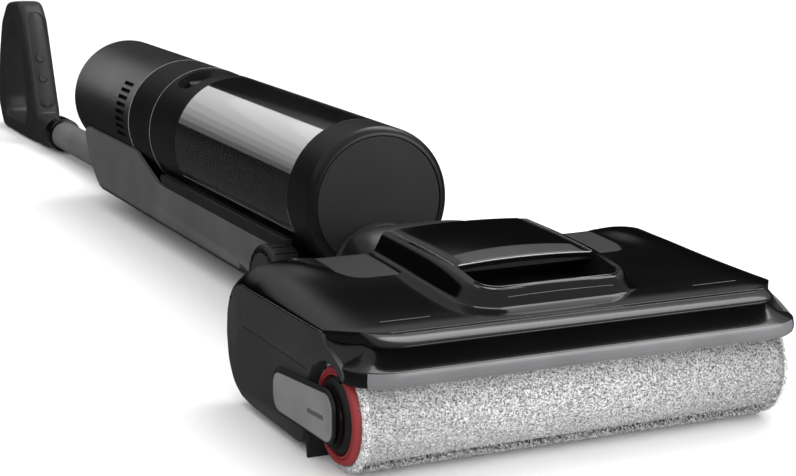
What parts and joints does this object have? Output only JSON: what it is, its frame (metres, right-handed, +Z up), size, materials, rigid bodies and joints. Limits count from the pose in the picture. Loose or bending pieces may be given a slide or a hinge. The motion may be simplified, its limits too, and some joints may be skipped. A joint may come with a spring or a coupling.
{
  "type": "wet dry floor scrubber",
  "caption": "Cordless wet and dry floor scrubber lying flat: wide head with a fleece brush roller, tilting and swivelling neck, round tank and motor body on a spine, tube and loop handle.",
  "frame": {"origin": "middle of the object's box at floor level, with the machine lying flat", "axes": "+X to the right seen from behind the handle, +Y from the roller towards the handle, +Z up"},
  "size_m": [0.286, 1.315, 0.1475],
  "materials": {
    "gloss_black": "gloss",
    "satin_black": "satin",
    "dark_grey": "satin",
    "spine_grey": "satin",
    "lever_grey": "satin",
    "tube_grey": "satin",
    "rubber": "matte",
    "red": "satin",
    "pile": "short pile",
    "inner_plastic": "satin",
    "cell_blue": "satin",
    "steel": "satin",
    "silver": "satin",
    "smoked": "gloss"
  },
  "bodies": {
    "head": {"head_chassis": "satin_black", "side_panel_left": "dark_grey", "side_panel_right": "dark_grey", "brush_motor": "steel", "drive_belt": "rubber", "belt_cover": "satin_black", "motor_cover": "dark_grey", "rear_shell_left": "gloss_black", "rear_shell_right": "gloss_black", "hinge_cover_left": "dark_grey", "hinge_cover_right": "dark_grey", "squeegee_blade": "rubber", "squeegee_carrier": "satin_black", "spray_bar": "inner_plastic", "dirt_duct": "inner_plastic", "tilt_pin_left": "steel", "tilt_pin_right": "steel"},
    "cover": {"roller_cover": "gloss_black", "grip_panel": "satin_black", "front_visor": "gloss_black"},
    "lever": {"release_lever": "satin_black", "release_lever_pad": "lever_grey", "roller_end_hub": "gloss_black"},
    "roller": {"roller_sleeve": "pile", "roller_core": "inner_plastic", "roller_end_ring": "red", "roller_end_cap": "dark_grey", "roller_pulley": "satin_black"},
    "motor_shaft": {"motor_pulley": "steel"},
    "caster_left": {"caster_left": "rubber"},
    "caster_right": {"caster_right": "rubber"},
    "neck": {"neck_shell": "dark_grey", "swivel_sleeve": "inner_plastic"},
    "body": {"arm_block": "dark_grey", "wheel_axle": "steel", "spine_frame": "spine_grey", "cradle_strip_left": "satin_black", "cradle_strip_right": "satin_black", "water_pump": "inner_plastic", "filter_band": "satin_black", "trim_ring": "silver", "motor_housing": "dark_grey", "display_lens": "gloss_black", "suction_motor": "steel", "battery_pack": "cell_blue", "handle_tube": "tube_grey", "tube_collar": "satin_black", "handle_loop": "satin_black", "grip_inlay": "gloss_black"},
    "wheel_left": {"wheel_left": "rubber"},
    "wheel_right": {"wheel_right": "rubber"},
    "tank": {"tank_base_cap": "satin_black", "tank_window": "smoked", "tank_divider": "inner_plastic", "riser_tube": "smoked", "tank_lid": "satin_black", "tank_filter": "inner_plastic"},
    "latch": {"tank_latch": "lever_grey"},
    "power_button": {"power_button": "satin_black"},
    "clean_button": {"clean_button": "satin_black"}
  },
  "joints": [
    {"name": "cover_slide", "type": "slide", "parent": "head", "child": "cover", "axis": [0, -1, 0], "range_m": [0, 0.065]},
    {"name": "lever_swing", "type": "hinge", "parent": "head", "child": "lever", "pos_m": [-0.1403, -0.5455, 0.03], "axis": [0, 0, -1], "range_deg": [0, 70]},
    {"name": "roller_spin", "type": "hinge", "parent": "head", "child": "roller", "pos_m": [0, -0.6205, 0.032], "axis": [1, 0, 0], "continuous": true},
    {"name": "motor_spin", "type": "hinge", "parent": "head", "child": "motor_shaft", "pos_m": [0.13, -0.5355, 0.034], "axis": [1, 0, 0], "continuous": true},
    {"name": "caster_left_spin", "type": "hinge", "parent": "head", "child": "caster_left", "pos_m": [-0.085, -0.4925, 0.011], "axis": [1, 0, 0], "continuous": true},
    {"name": "caster_right_spin", "type": "hinge", "parent": "head", "child": "caster_right", "pos_m": [0.085, -0.4925, 0.011], "axis": [1, 0, 0], "continuous": true},
    {"name": "neck_tilt", "type": "hinge", "parent": "head", "child": "neck", "pos_m": [0, -0.4325, 0.049], "axis": [1, 0, 0], "range_deg": [0, 90]},
    {"name": "neck_swivel", "type": "hinge", "parent": "neck", "child": "body", "pos_m": [0, -0.3865, 0.042], "axis": [0, 1, 0], "range_deg": [-40, 40]},
    {"name": "wheel_left_spin", "type": "hinge", "parent": "body", "child": "wheel_left", "pos_m": [-0.054, -0.3255, 0.029], "axis": [1, 0, 0], "continuous": true},
    {"name": "wheel_right_spin", "type": "hinge", "parent": "body", "child": "wheel_right", "pos_m": [0.054, -0.3255, 0.029], "axis": [1, 0, 0], "continuous": true},
    {"name": "tank_lift", "type": "slide", "parent": "body", "child": "tank", "axis": [0, 0, 1], "range_m": [0, 0.12]},
    {"name": "tank_latch_press", "type": "slide", "parent": "tank", "child": "latch", "axis": [0, -1, 0], "range_m": [0, 0.006], "stiffness_N_per_m": 300},
    {"name": "power_press", "type": "slide", "parent": "body", "child": "power_button", "axis": [0, 0.9199, -0.3921], "range_m": [0, 0.0015], "stiffness_N_per_m": 800},
    {"name": "clean_press", "type": "slide", "parent": "body", "child": "clean_button", "axis": [0, 0.9199, -0.3921], "range_m": [0, 0.0015], "stiffness_N_per_m": 800}
  ],
  "couplings": [
    {"joint": "motor_spin", "follows": "roller_spin", "ratio": 1.375}
  ]
}
